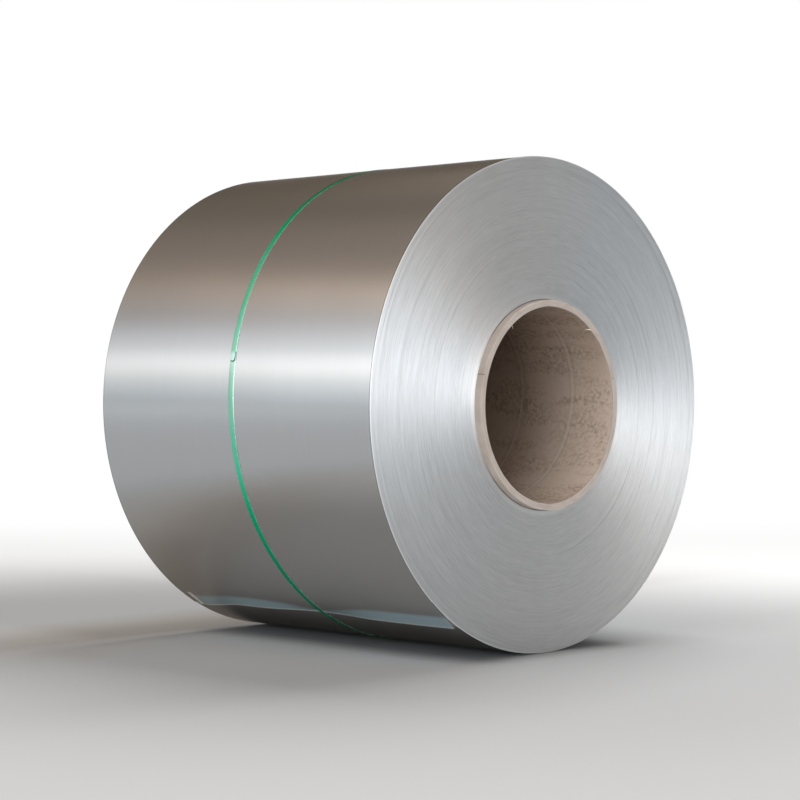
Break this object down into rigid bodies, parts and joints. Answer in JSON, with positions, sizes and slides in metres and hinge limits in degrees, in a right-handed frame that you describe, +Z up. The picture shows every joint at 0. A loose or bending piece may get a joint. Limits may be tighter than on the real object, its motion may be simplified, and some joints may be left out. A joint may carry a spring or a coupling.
{
  "type": "steel coil",
  "caption": "Wide coil of bare cold-rolled steel strip lying on its side, wound on a paper core tube and held shut by a green plastic strap.",
  "frame": {"origin": "on the floor, under the middle of the coil", "axes": "+X along the coil's axis towards the end that the picture shows, +Z up, -Y towards the side that the picture shows"},
  "size_m": [1.062, 1.2861, 1.2854],
  "materials": {
    "strip_steel": "bare cold-rolled sheet with fine rolling lines, and bare slit edges on the ends",
    "core_board": "wound brown board, mottled inside",
    "strap_plastic": "embossed green polyester strap"
  },
  "bodies": {
    "root": {"steel_coil": "strip_steel", "core_tube": "core_board", "strap": "strap_plastic"}
  },
  "joints": []
}
